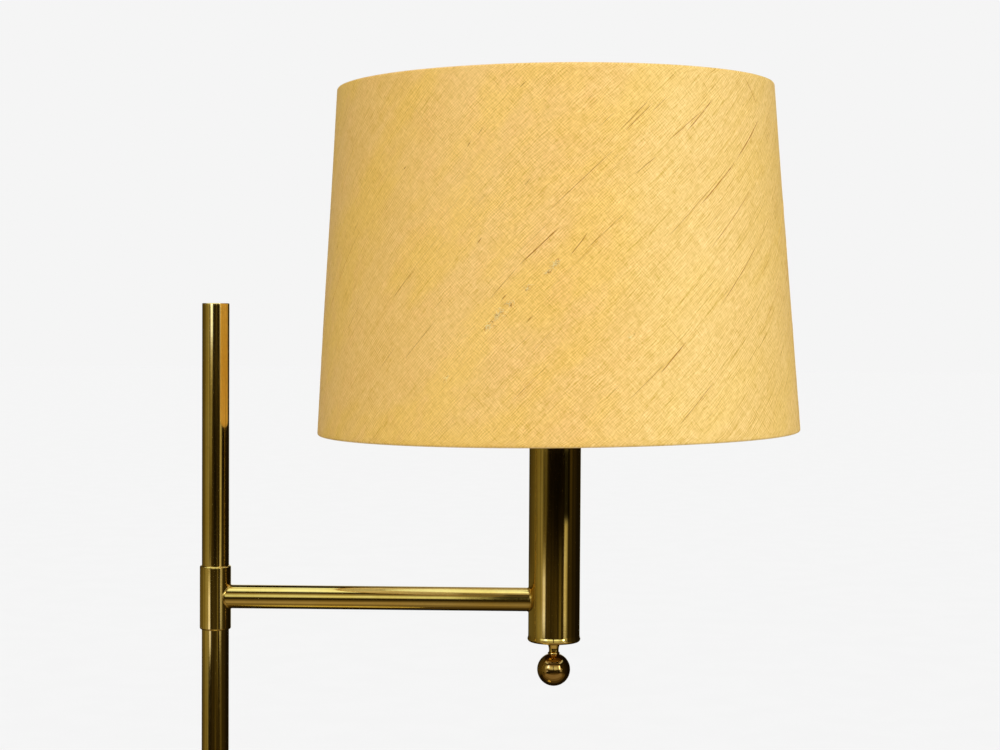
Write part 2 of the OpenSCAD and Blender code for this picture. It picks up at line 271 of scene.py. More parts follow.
def panel(tone, az=None, el=None, up=None, side=None, far=None, soft=(6, 6)):
    """Paint a patch of the room; later ones cover earlier ones."""
    global colour
    inside = 1.0
    for v, span, edge in (
        (azimuth, az, soft[0]),
        (around, far, soft[0]),
        (elevation, el, soft[1]),
        (pitch, up, soft[1]),
        (ray[0], side, 0.12),
    ):
        if span is not None:
            part = between(v, span[0], span[1], edge)
            inside = part if inside == 1.0 else w.mul(inside, part)
    colour = w.mix(inside, colour, tone)


# left wall, brighter towards the window
panel(level(70), az=(-146, -48), el=(-24, 40), soft=(26, 14))
panel(level(86), az=(-124, -48), el=(-24, 38), soft=(20, 14))
panel(level(104), az=(-98, -48), el=(-22, 36), soft=(18, 12))
panel(level(118), az=(-78, -48), el=(-22, 34), soft=(14, 12))
panel(level(146), az=(-64, -44), el=(-22, 34), soft=(8, 10))
panel(level(98), az=(-150, -84), el=(-9.9, -7.6), soft=(24, 1.6))
panel(level(126), az=(-92, -66), el=(-9.9, -7.6), soft=(16, 1.6))
panel(level(150), az=(-68, -44), el=(-9.9, -7.6), soft=(10, 1.6))
# right wall
panel(level(24), az=(60, 150), el=(-24, 40), soft=(16, 14))
panel(level(40), az=(60, 108), el=(-24, 40), soft=(18, 14))
panel(level(56), az=(54, 84), el=(-20, 30), soft=(10, 12))
# floor, seen in the lower half of level tubes
panel(level(106, 0.95), el=(-95, -18), up=(-101, -18), side=(-0.9, 0.9), soft=(8, 7))
panel(level(154, 0.95), el=(-95, -20), up=(-62, -30), side=(-0.8, 0.8), soft=(8, 7))
panel(level(126, 0.95), el=(-95, -20), up=(-80, -63), side=(-0.8, 0.8), soft=(8, 7))
panel(level(84, 0.95), el=(-95, -30), up=(-104, -82), side=(-0.8, 0.8), soft=(8, 6))
# ceiling and the high softbox
panel(level(148, 0.95), el=(26, 95), up=(28, 41), side=(-0.85, 0.85), soft=(8, 7))
panel(level(66), el=(30, 95), up=(41, 56), side=(-0.85, 0.85), soft=(8, 5))
panel(gold(250, 234, 143), el=(40, 95), up=(58, 110), side=(-0.8, 0.8), soft=(8, 5))
# dark side of the room, straight behind the camera
panel(level(44), az=(-42, 43), el=(-18, 4), soft=(8, 6))
panel(level(26), az=(-4, 16), el=(-9.5, -2.5), soft=(8, 3))
panel(level(30), az=(-53, -24), el=(-22, -10.2), soft=(5, 1.0))
panel(level(62), az=(-38, 16), el=(-9.6, -7.6), soft=(8, 1.2))
panel(level(70), az=(-1, 17), el=(-14, -9.6), soft=(6, 1.0))
panel(level(104), az=(21, 31), el=(-10.5, -7.2), soft=(5, 1.2))
panel(level(84), az=(4, 20), el=(-2.6, 3), soft=(5, 2.5))
# low band of light
panel(gold(214, 188, 92), az=(-56, 46), el=(4.5, 30), soft=(16, 7))
panel(gold(246, 224, 124), az=(-60, 22), el=(9, 22), soft=(20, 6))
# right window
panel(level(164), az=(45, 61), el=(-9.6, 12), soft=(4, 2))
panel(level(222), az=(43, 52), el=(-1.4, 9), soft=(3, 2.5))
panel((4.6, 4.7, 4.6), az=(40, 48), el=(7, 29), soft=(2, 3))
panel((1.7, 1.7, 1.3), az=(-42, -27), el=(12, 22), soft=(3, 3))
panel(level(210), az=(43, 55), el=(-9.2, -7.4), soft=(4, 1.2))
panel(level(84), az=(50, 66), el=(-16, -9.8), soft=(5, 1.0))
# upright folds and edges of the room, as narrow bands
folds = w.noise(w.join(w.mul(azimuth, 0.30), 0.0, 3.7), 1.0, 3, 0.7)
folds = w.ramp(folds, 0.30, 0.70, 0.78, 1.22, smooth=False)
folds = w.mix(between(elevation, -26, 26, 10), (1.0, 1.0, 1.0), w.join(folds, folds, folds))
colour = w.vec("MULTIPLY", colour, folds)
# window on the far side of the room, which views from behind show
panel(gold(214, 186, 104), far=(167, 190), el=(-16, 26), soft=(5, 6))

# soft, nearly even light for matt surfaces, a little stronger from the right, the front and above
AMBIENT, RIGHT, FRONT, ABOVE = 0.71, 0.13, 0.11, 0.20
side = w.add(
    AMBIENT,
    w.mul(ray[0], RIGHT),
    w.mul(ray[1], -FRONT),
    w.mul(ray[2], ABOVE),
)
BACKDROP = srgb(245, 245, 245)
path = w.node("ShaderNodeLightPath").outputs
seen = w.mix(path["Is Glossy Ray"], w.join(side, side, side), colour)
seen = w.mix(path["Is Camera Ray"], seen, BACKDROP)
sky = w.node("ShaderNodeBackground")
w.put(sky.inputs["Color"], seen)
w.t.links.new(sky.outputs[0], w.node("ShaderNodeOutputWorld").inputs[0])



def sun(name, az, el, energy, angle):
    data = bpy.data.lights.new(name, "SUN")
    ob = bpy.data.objects.new(name, data)
    scene.collection.objects.link(ob)
    data.energy = energy
    data.angle = math.radians(angle)
    az, el = math.radians(az), math.radians(el)
    towards = Vector(
        (math.sin(az) * math.cos(el), -math.cos(az) * math.cos(el), math.sin(el))
    )
    ob.rotation_mode = "QUATERNION"
    ob.rotation_quaternion = towards.to_track_quat("Z", "Y")
    return ob


# one soft key light from the front and above, for matt surfaces only
key = sun("Key", -12, 48, 0.82, 40)
key.visible_glossy = False
# the same key's gloss, and a low side light, on the cloth alone: threads glint, tubes don't
glint = sun("Glint", -12, 48, 0.82, 14)
glint.visible_diffuse = False
side_light = sun("Side", 76, 14, 0.53, 20)
cloth_only = bpy.data.collections.new("ClothOnly")
for lamp in (glint, side_light):
    lamp.light_linking.receiver_collection = cloth_only


# reflectors that only the polished metal shows: a mesh with a glow colour and a cover share at each point
def reflector(name, verts, faces, glow, cover):
    me = bpy.data.meshes.new(name)
    me.from_pydata(verts, [], faces)
    a = me.attributes.new("glow", "FLOAT_COLOR", "POINT")
    a.data.foreach_set("color", [c for g in glow for c in (*g, 1.0)])
    a = me.attributes.new("cover", "FLOAT", "POINT")
    a.data.foreach_set("value", cover)
    m = bpy.data.materials.new(name)
    m.use_nodes = True
    t = Tree(m.node_tree)
    out = t.node("ShaderNodeOutputMaterial")
    emit = t.node("ShaderNodeEmission")
    clear = t.node("ShaderNodeBsdfTransparent")
    pick = t.node("ShaderNodeMixShader")
    t.put(emit.inputs[0], t.node("ShaderNodeAttribute", attribute_name="glow").outputs["Color"])
    t.put(pick.inputs[0], t.node("ShaderNodeAttribute", attribute_name="cover").outputs["Fac"])
    t.t.links.new(clear.outputs[0], pick.inputs[1])
    t.t.links.new(emit.outputs[0], pick.inputs[2])
    t.t.links.new(pick.outputs[0], out.inputs[0])
    m.cycles.emission_sampling = "NONE"
    me.materials.append(m)
    ob = bpy.data.objects.new(name, me)
    scene.collection.objects.link(ob)
    ob.visible_camera = ob.visible_diffuse = ob.visible_shadow = False
    ob.visible_transmission = ob.visible_volume_scatter = False
    return ob


def smooth(v, lo, hi):
    f = min(1.0, max(0.0, (v - lo) / (hi - lo)))
    return f * f * (3 - 2 * f)


def grid(name, cols, rows, place, look):
    verts, faces, glow, cover = [], [], [], []
    for i in range(rows):
        for k in range(cols):
            u, v = k / (cols - 1), i / (rows - 1)
            verts.append(place(u, v))
            tone, share = look(u, v)
            glow.append(tone)
            cover.append(share)
    for i in range(rows - 1):
        for k in range(cols - 1):
            a = i * cols + k
            faces.append((a, a + 1, a + 1 + cols, a + cols))
    return reflector(name, verts, faces, glow, cover)


# tall window on the left, 1.25 m from the post: bright at its foot and its head, dim between
WIN_Z0, WIN_Z1 = 0.70, 1.75


def window_place(u, v):
    z = WIN_Z0 + (WIN_Z1 - WIN_Z0) * v
    slant = 0.10 * smooth(z, 0.83, 0.98) + 0.125 * smooth(z, 1.04, 1.24)
    c = Vector((-0.745 + slant, -0.985, z))
    across = Vector((0.795, -0.607, 0.0))
    return c + across * (u - 0.5) * (0.50 + 0.16 * smooth(z, 0.84, 0.96))


def window_look(u, v):
    z = WIN_Z0 + (WIN_Z1 - WIN_Z0) * v
    foot = smooth(z, 0.715, 0.75) * (1 - smooth(z, 0.81, 0.90))
    head = smooth(z, 1.14, 1.26)
    red = 98 + 150 * foot + 45 * smooth(z, 0.95, 1.10) * (1 - head) + 150 * head
    edge = smooth(u, 0.0, 0.42) * (1 - smooth(u, 0.70, 1.0))
    hot, tone = smooth(z, 1.212, 1.242) * smooth(u, 0.25, 0.5), level(min(250, red))
    tone = tuple(a + (b - a) * hot for a, b in zip(tone, (1.9, 2.3, 3.3)))
    # the sun on the top of the frame, which only the ball and the rounded edges show
    glint = smooth(z, 1.285, 1.31) * (1 - smooth(z, 1.56, 1.60))
    glint *= smooth(u, 0.31, 0.40) * (1 - smooth(u, 0.54, 0.62))
    tone = tuple(a + (b - a) * glint for a, b in zip(tone, (7.0, 7.4, 8.4)))
    return tone, max(edge * smooth(z, 0.70, 0.74), glint)


grid("window_left", 17, 60, window_place, window_look)


# the dark of the camera and its stand
def camera_place(u, v):
    return Vector((0.255 + (u - 0.5) * 0.22, -1.95, 0.98 + 1.1 * v))


def camera_look(u, v):
    return level(46), smooth(u, 0.0, 0.25) * (1 - smooth(u, 0.75, 1.0)) * smooth(v, 0, 0.15)


grid("camera_dark", 13, 9, camera_place, camera_look)


# painted shade: a dark card that only the polished metal shows, standing in for the lamp shade's shadow on the
# upper part of the head tube; it hides the windows from there
def under_place(u, v):
    a = math.radians(-62 + 128 * u)
    return Vector((REACH + 0.12 * math.sin(a), -0.12 * math.cos(a), 0.985 + 0.168 * v))


def under_look(u, v):
    az, z = -62 + 128 * u, 0.985 + 0.168 * v
    right = smooth(az, 34, 39)
    turn_ = -33 + 9 * smooth(z, 1.03, 1.09)
    left = 1 - smooth(az, turn_ - 3, turn_ + 3)
    share = (
        (1 - right) * (1 - left) * 0.86 * smooth(z, 0.99, 1.10)
        + left * 0.54 * smooth(z, 0.99, 1.13)
        + right * 0.97 * smooth(z, 1.060, 1.071)
    )
    share *= 1 - smooth(z, 1.132, 1.153)
    return level(6), share * smooth(az, -56, -48) * (1 - smooth(az, 60, 66))


grid("painted_shade_under_shade", 65, 49, under_place, under_look)

# ---------------------------------------------------------------- floor
floor_mesh = bpy.data.meshes.new("Floor")
ring = [
    (40 * math.cos(2 * math.pi * i / 96), 40 * math.sin(2 * math.pi * i / 96), 0.0)
    for i in range(96)
]
floor_mesh.from_pydata(ring, [], [tuple(range(96))])
floor = bpy.data.objects.new("Floor", floor_mesh)
scene.collection.objects.link(floor)
floor.location.z = -0.0002
fm = bpy.data.materials.new("floor_pale")
fm.use_nodes = True
t = Tree(fm.node_tree)
out = t.node("ShaderNodeOutputMaterial")
matt = t.node("ShaderNodeBsdfDiffuse")
pale = t.ramp(t.noise(t.place(), 6.0, 3), 0.3, 0.7, 0.880, 0.888)
t.put(matt.inputs["Color"], t.join(pale, pale, pale))
clear = t.node("ShaderNodeBsdfTransparent")
pick = t.node("ShaderNodeMixShader")
t.put(pick.inputs[0], t.node("ShaderNodeNewGeometry").outputs["Backfacing"])
t.t.links.new(matt.outputs[0], pick.inputs[1])
t.t.links.new(clear.outputs[0], pick.inputs[2])
t.t.links.new(pick.outputs[0], out.inputs[0])
floor_mesh.materials.append(fm)
floor.visible_glossy = False
floor.visible_diffuse = False


# ---------------------------------------------------------------- materials
def brass_material(name, tint, rough, grain, specks=0.35, dull=0.0, drawn=None, spun=None):
    """Polished, lacquered brass. grain is the direction across the polishing lines, as scales of x, y and z;
    drawn is the same for the long lines a drawn tube keeps, whose light and dark streaks in the colour are painted
    reflection streaks; spun is the x of the axis a piece was turned about."""

    def fill(t, s):
        p = t.place()
        cloud = t.noise(p, 22.0, 4, 0.6)
        fine = t.noise(t.scaled(p, 1, 1, 1), 420.0, 3, 0.6)
        if spun is None:
            lines = t.noise(t.scaled(p, *grain), 1.0, 3, 0.7)
        else:
            px, py, pz = t.split(p)
            px = t.add(px, -spun)
            ring_r = t.math("SQRT", t.add(t.mul(px, px), t.mul(py, py)))
            lines = t.noise(t.join(t.mul(ring_r, 1500.0), 0.0, t.mul(pz, 1500.0)), 1.0, 3, 0.7)
        # darker freckles where the lacquer has broken
        spot = t.ramp(t.cells(p, 95.0)[0], 0.10, 0.05, 0.0, 1.0)
        spot = t.mul(spot, t.ramp(t.noise(p, 14.0, 2), 0.56, 0.66), specks)
        warm = tuple(c * k for c, k in zip(tint, (0.97, 0.93, 0.80)))
        pale = tuple(min(1.0, c * k) for c, k in zip(tint, (1.02, 1.03, 1.08)))
        c = t.mix(t.ramp(cloud, 0.35, 0.68), pale, warm)
        c = t.mix(t.ramp(fine, 0.45, 0.75, 0.0, 0.10 + dull), c, srgb(128, 96, 44))
        c = t.mix(spot, c, srgb(70, 48, 20))
        # painted reflection streaks: the drawn tube's long lines give strong light and dark streaks in the colour
        if drawn:
            long_lines = t.noise(t.scaled(p, *drawn), 1.0, 3, 0.65)
            k = t.ramp(long_lines, 0.34, 0.66, 0.56, 1.13, smooth=False)
            c = t.vec("MULTIPLY", c, t.join(k, k, k))
        t.put(s["Base Color"], c)
        s["Metallic"].default_value = 1.0
        r = t.add(
            t.ramp(cloud, 0.3, 0.75, rough * 0.75, rough * 1.35),
            t.ramp(lines, 0.35, 0.7, 0.0, rough * 0.35),
            t.mul(spot, 0.3),
        )
        t.put(s["Roughness"], r)
        wave = t.bump(t.noise(t.scaled(p, 1, 1, 0.55), 26.0, 1, 0.4), 0.35, 0.0003)
        n = t.bump(lines, 0.10, 0.00004, wave)
        n = t.bump(fine, 0.08, 0.00005, n)
        if drawn:
            n = t.bump(long_lines, 0.16, 0.00006, n)
        t.put(s["Normal"], n)

    return material(name, fill)


UPRIGHT, LEVEL, TURNED = (60, 60, 2600), (2600, 60, 60), (90, 90, 3000)
brass_up = brass_material(
    "brass_upright", BRASS, 0.07, UPRIGHT, drawn=(330, 330, 2.0)
)
brass_spun = brass_material("brass_spun", BRASS, 0.10, None, 0.2, spun=0.0)
brass_spun_head = brass_material("brass_spun_head", BRASS, 0.08, None, 0.2, spun=REACH)
brass_level = brass_material("brass_level", BRASS, 0.07, LEVEL, drawn=(2.0, 330, 330))
brass_turned = brass_material(
    "brass_turned", (0.78, 0.53, 0.15), 0.12, TURNED, 0.6, 0.10
)
brass_knob = brass_material(
    "brass_knob", (0.52, 0.335, 0.12), 0.07, TURNED, 0.9, 0.18
)


def steel(name, colour, rough, scale=700.0):
    def fill(t, s):
        p = t.place()
        a = t.noise(p, scale, 3, 0.6)
        b = t.noise(p, 60.0, 3, 0.6)
        dark = tuple(c * 0.72 for c in colour)
        t.put(s["Base Color"], t.mix(t.ramp(b, 0.35, 0.7), colour, dark))
        s["Metallic"].default_value = 1.0
        t.put(s["Roughness"], t.ramp(a, 0.3, 0.7, rough * 0.8, rough * 1.3))
        t.put(s["Normal"], t.bump(a, 0.15, 0.0001))

    return material(name, fill)


def moulded(name, colour, rough, grain=900.0, bump=0.08, second=None, coat=0.0):
    second = second or tuple(c * 0.82 for c in colour)

    def fill(t, s):
        p = t.place()
        a = t.noise(p, grain, 3, 0.6)
        b = t.noise(p, 45.0, 3, 0.55)
        t.put(s["Base Color"], t.mix(t.ramp(b, 0.35, 0.68), colour, second))
        t.put(s["Roughness"], t.ramp(a, 0.3, 0.7, rough * 0.85, rough * 1.2))
        t.put(s["Normal"], t.bump(a, bump, 0.0002))
        s["Coat Weight"].default_value = coat

    return material(name, fill)


def felt_fill(t, s):
    p = t.place()
    a = t.noise(p, 1500.0, 4, 0.7)
    b = t.noise(p, 320.0, 4, 0.7, 0.6)
    c = t.mix(t.ramp(a, 0.3, 0.7), (0.012, 0.026, 0.014), (0.045, 0.075, 0.045))
    c = t.mix(t.ramp(b, 0.5, 0.8, 0, 0.5), c, (0.075, 0.10, 0.07))
    t.put(s["Base Color"], c)
    s["Roughness"].default_value = 0.95
    s["Sheen Weight"].default_value = 0.08
    s["Sheen Roughness"].default_value = 0.5
    s["Specular IOR Level"].default_value = 0.15
    t.put(s["Normal"], t.bump(t.add(a, t.mul(b, 0.8)), 0.6, 0.0006))


def iron_fill(t, s):
    p = t.place()
    a = t.noise(p, 500.0, 4, 0.65)
    b = t.noise(p, 60.0, 4, 0.6)
    c = t.mix(t.ramp(b, 0.35, 0.7), (0.055, 0.055, 0.06), (0.12, 0.115, 0.11))
    c = t.mix(t.ramp(a, 0.62, 0.74, 0, 0.5), c, (0.16, 0.075, 0.035))
    t.put(s["Base Color"], c)
    s["Metallic"].default_value = 0.4
    t.put(s["Roughness"], t.ramp(a, 0.3, 0.7, 0.55, 0.8))
    t.put(s["Normal"], t.bump(a, 0.5, 0.0006))


def film_fill(t, s):
    """The stiff white lining, with a trace of the cloth behind it."""
    p = t.place()
    b = t.noise(p, 12.0, 3, 0.55)
    a = t.noise(p, 800.0, 3, 0.6)
    c = t.mix(t.ramp(b, 0.35, 0.68), (0.87, 0.81, 0.67), (0.84, 0.775, 0.62))
    t.put(s["Base Color"], c)
    t.put(s["Roughness"], t.ramp(a, 0.3, 0.7, 0.34, 0.48))
    t.put(s["Normal"], t.bump(t.add(a, t.mul(b, 2.0)), 0.12, 0.0002))


def glass_fill(t, s):
    """Opal glass: milky white, smooth, a little warmer at the neck."""
    p = t.place()
    z = t.split(p)[2]
    warm = t.ramp(z, 1.250, 1.236)
    b = t.noise(p, 50.0, 2, 0.5)
    c = t.mix(t.ramp(b, 0.3, 0.7), (0.90, 0.89, 0.86), (0.85, 0.84, 0.81))
    c = t.mix(warm, c, (0.66, 0.63, 0.58))
    t.put(s["Base Color"], c)
    t.put(s["Roughness"], t.ramp(t.noise(p, 300.0, 2), 0.3, 0.7, 0.14, 0.22))
    s["Subsurface Weight"].default_value = 0.25
    s["Subsurface Scale"].default_value = 0.01
    s["Coat Weight"].default_value = 0.4
    s["Coat Roughness"].default_value = 0.05


by_slot = {
    "felt": material("felt", felt_fill),
    "cast_iron": material("cast_iron", iron_fill),
    "brass": brass_up,
    "turned_brass": brass_turned,
    "zinc_steel": steel("zinc_steel", (0.62, 0.62, 0.60), 0.32),
    "black_steel": steel("black_steel", (0.10, 0.10, 0.105), 0.42),
    "black_bakelite": moulded("black_bakelite", (0.022, 0.020, 0.019), 0.26, coat=0.3),
    "brown_insulation": moulded("brown_insulation", (0.13, 0.055, 0.028), 0.42),
    "blue_insulation": moulded("blue_insulation", (0.03, 0.09, 0.30), 0.42),
    "steatite": moulded("steatite", (0.80, 0.77, 0.69), 0.38, 1400.0, 0.2),
    "contact_brass": brass_material(
        "contact_brass", (0.85, 0.66, 0.30), 0.22, TURNED, 0.3, 0.15
    ),
    "white_wire": moulded("white_wire", (0.82, 0.80, 0.75), 0.34, 500.0, 0.15),
    "shade_film": material("shade_film", film_fill),
    "bulb_cap_metal": steel("bulb_cap_metal", (0.72, 0.72, 0.71), 0.24, 1200.0),
    "black_glass": moulded("black_glass", (0.012, 0.012, 0.016), 0.10, coat=0.5),
    "opal_glass": material("opal_glass", glass_fill),
}
slot_of = {
    n: o.material_slots[0].material.name.split(".")[0] if o.material_slots else ""
    for n, o in nodes.items()
}
for n, o in nodes.items():
    m = by_slot.get(slot_of[n])
    if n == "arm_tube":
        m = brass_level
    if n in ("base_cover", "post_foot", "post_cap"):
        m = brass_spun
    if n in ("head_end_cap", "head_top_plate", "knob_neck"):
        m = brass_spun_head
    if n == "knob_ball":
        m = brass_knob
    if m is not None:
        o.data.materials.clear()
        o.data.materials.append(m)


# ---------------------------------------------------------------- silk
def silk_fill(t, s):
    """Slubbed silk, cut on the bias: u and v of the 'cut' map are metres on the flat cloth."""
    uv = t.node("ShaderNodeUVMap", uv_map="cut").outputs[0]
    x, y, _ = t.split(uv)
    a44 = math.radians(44.0)
    # along and across the weft, which rises to the right; along and across the warp
    wa = t.add(t.mul(x, math.cos(a44)), t.mul(y, math.sin(a44)))
    wc = t.add(t.mul(x, -math.sin(a44)), t.mul(y, math.cos(a44)))
    # threads wander a little
    drift = t.mul(t.math("SUBTRACT", t.noise(t.join(x, y, 0), 9.0, 2), 0.5), 0.004)
    wc2 = t.add(wc, drift)
    wa2 = t.add(wa, t.mul(drift, 0.6))

    def streaks(along, across, length, width, seed, detail=2.0):
        return t.noise(
            t.join(
                t.mul(along, 1.0 / length), t.mul(across, 1.0 / width), float(seed)
            ),
            1.0,
            detail,
            0.55,
        )

    weft_fine = streaks(wa2, wc2, 0.0075, 0.00105, 3.1, 1.0)
    warp_fine = streaks(wc2, wa2, 0.0050, 0.00100, 7.7, 1.0)
    weft_mid = streaks(wa2, wc2, 0.050, 0.00105, 12.3, 1.0)
    warp_mid = streaks(wc2, wa2, 0.030, 0.00110, 18.9, 1.0)
    # the threads themselves, about a millimetre apart, that drift in and out of step
    slip_w = t.mul(t.noise(t.join(t.mul(wa, 75.0), t.mul(wc, 160.0), 41.0), 1.0, 1), 11.0)
    slip_p = t.mul(t.noise(t.join(t.mul(wa, 160.0), t.mul(wc, 75.0), 47.0), 1.0, 1), 11.0)
    weft_rib = t.math("SINE", t.add(t.mul(wc2, 2 * math.pi / 0.00205), slip_w))
    warp_rib = t.math("SINE", t.add(t.mul(wa2, 2 * math.pi / 0.00200), slip_p))
    weft_long = streaks(wa2, wc2, 0.30, 0.0090, 25.5)
    warp_long = streaks(wc2, wa2, 0.22, 0.0120, 31.2)
    # plain weave, for close views
    pitch_w, pitch_p = 2 * math.pi / 0.00052, 2 * math.pi / 0.00046
    weave = t.mul(
        t.math("SINE", t.mul(wc2, pitch_w)), t.math("SINE", t.mul(wa2, pitch_p))
    )
    patch = t.noise(t.join(t.mul(wa, 7.0), t.mul(wc, 16.0), 4.0), 1.0, 3, 0.55)
    blotch = t.noise(t.join(t.mul(wa, 26.0), t.mul(wc, 34.0), 9.0), 1.0, 3, 0.6)
    # fine weft lines crowd together on the right of the front
    crowd = t.ramp(x, 0.02, 0.16, 0.6, 1.3)
    strong = t.ramp(x, -0.16, 0.02, 0.72, 1.0)
    open_ = t.noise(t.join(t.mul(wa, 22.0), t.mul(wc, 30.0), 53.0), 1.0, 2)
    open_ = t.mul(t.ramp(open_, 0.35, 0.65, 0.6, 1.2), strong)

    tan, yellow, peach = srgb(244, 196, 101), srgb(245, 197, 88), srgb(246, 194, 102)
    c = t.mix(t.ramp(patch, 0.43, 0.59), tan, yellow)
    c = t.mix(t.ramp(blotch, 0.48, 0.70, 0, 0.55), c, peach)
    # painted sheen: the cloth is paler right of the front, where the light from the right gives it a whiter sheen
    pale = t.mul(t.ramp(x, 0.0, 0.11), t.ramp(x, 0.22, 0.42, 1.0, 0.0))
    c = t.mix(t.mul(pale, 0.6), c, srgb(247, 209, 113))
    shade = t.add(
        t.mul(t.ramp(weft_fine, 0.25, 0.75, -0.120, 0.120, smooth=False), strong),
        t.mul(t.ramp(warp_fine, 0.25, 0.75, -0.090, 0.090, smooth=False), strong),
        t.mul(weft_rib, 0.072, open_),
        t.mul(warp_rib, 0.045, open_),
        t.mul(t.ramp(weft_mid, 0.30, 0.70, -0.05, 0.05, smooth=False), crowd),
        t.mul(t.ramp(warp_mid, 0.30, 0.70, -0.03, 0.03, smooth=False), strong),
        # painted shade: thin dark lines beside the thicker threads, on the shaded side of their ridges
        t.mul(t.ramp(weft_mid, 0.35, 0.24, 0.0, -0.18), crowd),
        t.mul(t.ramp(warp_mid, 0.33, 0.23, 0.0, -0.10), strong),
        t.ramp(weft_long, 0.3, 0.7, -0.012, 0.012),
        t.ramp(warp_long, 0.3, 0.7, -0.010, 0.010),
        t.mul(weave, 0.02),
    )
    # the threads' light and dark, partly the yarn's own and partly painted shade between the threads and painted
    # highlights on them: the dark is browner, the light paler
    rgb = [t.math("MULTIPLY_ADD", shade, k, 1.0) for k in (1.0, 1.35, 3.9)]
    c = t.vec("MULTIPLY", c, t.join(*rgb))
    t.put(s["Base Color"], c)
    s["Roughness"].default_value = 0.46
    s["Specular IOR Level"].default_value = 0.9
    s["Sheen Weight"].default_value = 0.06
    s["Sheen Roughness"].default_value = 0.45
    n = t.bump(t.add(weft_fine, t.mul(warp_fine, 0.8)), 0.48, 0.00026)
    n = t.bump(t.add(t.mul(weft_mid, crowd), t.mul(warp_mid, 0.8)), 0.5, 0.00036, n)
    n = t.bump(weave, 0.35, 0.00006, n)
    t.put(s["Normal"], n)


silk = material("silk_bias", silk_fill)


def thread_fill(t, s):
    """Loose and thick threads; the mesh's 'tone' says how dark each one is."""
    tone = t.node("ShaderNodeAttribute", attribute_name="tone").outputs["Fac"]
    p = t.place()
    a = t.noise(p, 900.0, 3, 0.6)
    c = t.mix(t.ramp(tone, 0.0, 0.8, smooth=False), srgb(168, 110, 30), srgb(250, 212, 118))
    c = t.mix(t.ramp(tone, 0.8, 1.0, smooth=False), c, (1.0, 0.84, 0.38))
    c = t.mix(t.ramp(a, 0.35, 0.7, 0.0, 0.2), c, srgb(232, 186, 98))
    t.put(s["Base Color"], c)
    s["Roughness"].default_value = 0.7
    s["Specular IOR Level"].default_value = 0.25
    t.put(s["Normal"], t.bump(a, 0.4, 0.0002))


thread_mat = material("silk_thread", thread_fill)


def new_mesh(name, verts, faces, mat, smooth=True):
    me = bpy.data.meshes.new(name)
    me.from_pydata([tuple(v) for v in verts], [], faces)
    me.validate()
    me.update()
    if smooth:
        me.polygons.foreach_set("use_smooth", [True] * len(me.polygons))
    me.materials.append(mat)
    ob = bpy.data.objects.new(name, me)
    scene.collection.objects.link(ob)
    return ob


rng = random.Random(11)
waves = [
    (rng.uniform(-1, 1), rng.randint(2, 17), rng.uniform(0, 6.3), rng.uniform(4, 30))
    for _ in range(14)
]


def ripple(theta, h):
    """Slow unevenness of the bonded cloth, in metres."""
    v = 0.0
    for amp, k, ph, hs in waves:
        v += amp * math.sin(k * theta + ph + hs * h) / (1 + 0.25 * k)
    return 0.00013 * v


SEAM_W = 0.0065 / RB  # the overlap at the back, as an angle
angles = set(round(-math.pi + 2 * math.pi * i / 440, 6) for i in range(440))
seam_edge = math.pi - SEAM_W
for d in (-0.0022, -0.0004, 0.0004, 0.0022):
    angles.add(round(seam_edge + d, 6))
ARMS = [math.radians(a) for a in (30, 150, 270)]


def front_angle(a):
    """An angle from +X, turned to one from the front line, -pi to pi."""
    th = a + math.pi / 2
    return (th + math.pi) % (2 * math.pi) - math.pi


for a in ARMS:
    th = front_angle(a)
    for d in (-0.0150, -0.0108, 0.0108, 0.0150):
        angles.add(round(th + d, 6))
angles = sorted(angles)
keep = [angles[0]]
for a in angles[1:]:
    if a - keep[-1] > 0.0006:
        keep.append(a)
angles = keep


def seam_lift(theta):
    """The upper layer's edge stands 0.5 mm above the lower one at the seam, and fades past it."""
    if theta >= seam_edge:
        return 0.00045
    if theta < -math.pi + 0.004:
        return 0.00045 * (1 - (theta + math.pi) / 0.004) if theta > -math.pi else 0.00045
    return 0.0


def hem_share(theta):
    """How much of the turned-in hem is left where the carrier's arms pass."""
    for a in ARMS:
        d = abs((theta - front_angle(a) + math.pi) % (2 * math.pi) - math.pi)
        if d < 0.0130:
            return 0.06
    return 1.0


THICK = 0.0005
IN = 0.0044  # the hem's inner face, from the cloth's outer face


def profile(theta):
    """Outline of the cloth's section: (in from the outer line, height, flat y) all round, outer side first."""
    frays = 0.0005 * math.sin(23 * theta + 1.3) + 0.0004 * math.sin(57 * theta)
    outer, inner = [], []

    def both(inward, h, n_in, n_h, flat):
        outer.append((inward, h, flat))
        inner.append((inward + n_in * THICK, h + n_h * THICK, flat))

    top = SH
    # hem inside the top edge
    length = HEM + frays
    for i in range(4, 0, -1):
        both(IN, top - 0.0022 - (length - 0.0022) * i / 4, -1, 0, SLANT + 0.006 + 0.002 * i)
    # over the top wire
    for i in range(9):
        a = math.pi * i / 8
        both(
            IN / 2 + IN / 2 * math.cos(a),
            top - 0.0022 + 0.0021 * math.sin(a),
            -math.cos(a),
            -math.sin(a),
            SLANT + 0.004 * (1 - i / 8),
        )
    # outer face
    rows = 78
    for i in range(1, rows):
        h = (top - 0.0022) + (0.0044 - top) * i / rows
        both(0.0, h, 1, 0, h / COS_B)
    # round the bottom wire
    for i in range(9):
        a = math.pi * i / 8
        both(
            IN / 2 - IN / 2 * math.cos(a),
            0.0022 - 0.0021 * math.sin(a),
            math.cos(a),
            math.sin(a),
            -0.004 * i / 8,
        )
    share = hem_share(theta)
    for i in range(1, 5):
        both(IN, 0.0022 + (HEM - 0.0022 + frays) * share * i / 4, -1, 0, -0.004 - 0.002 * i)
    return outer, inner


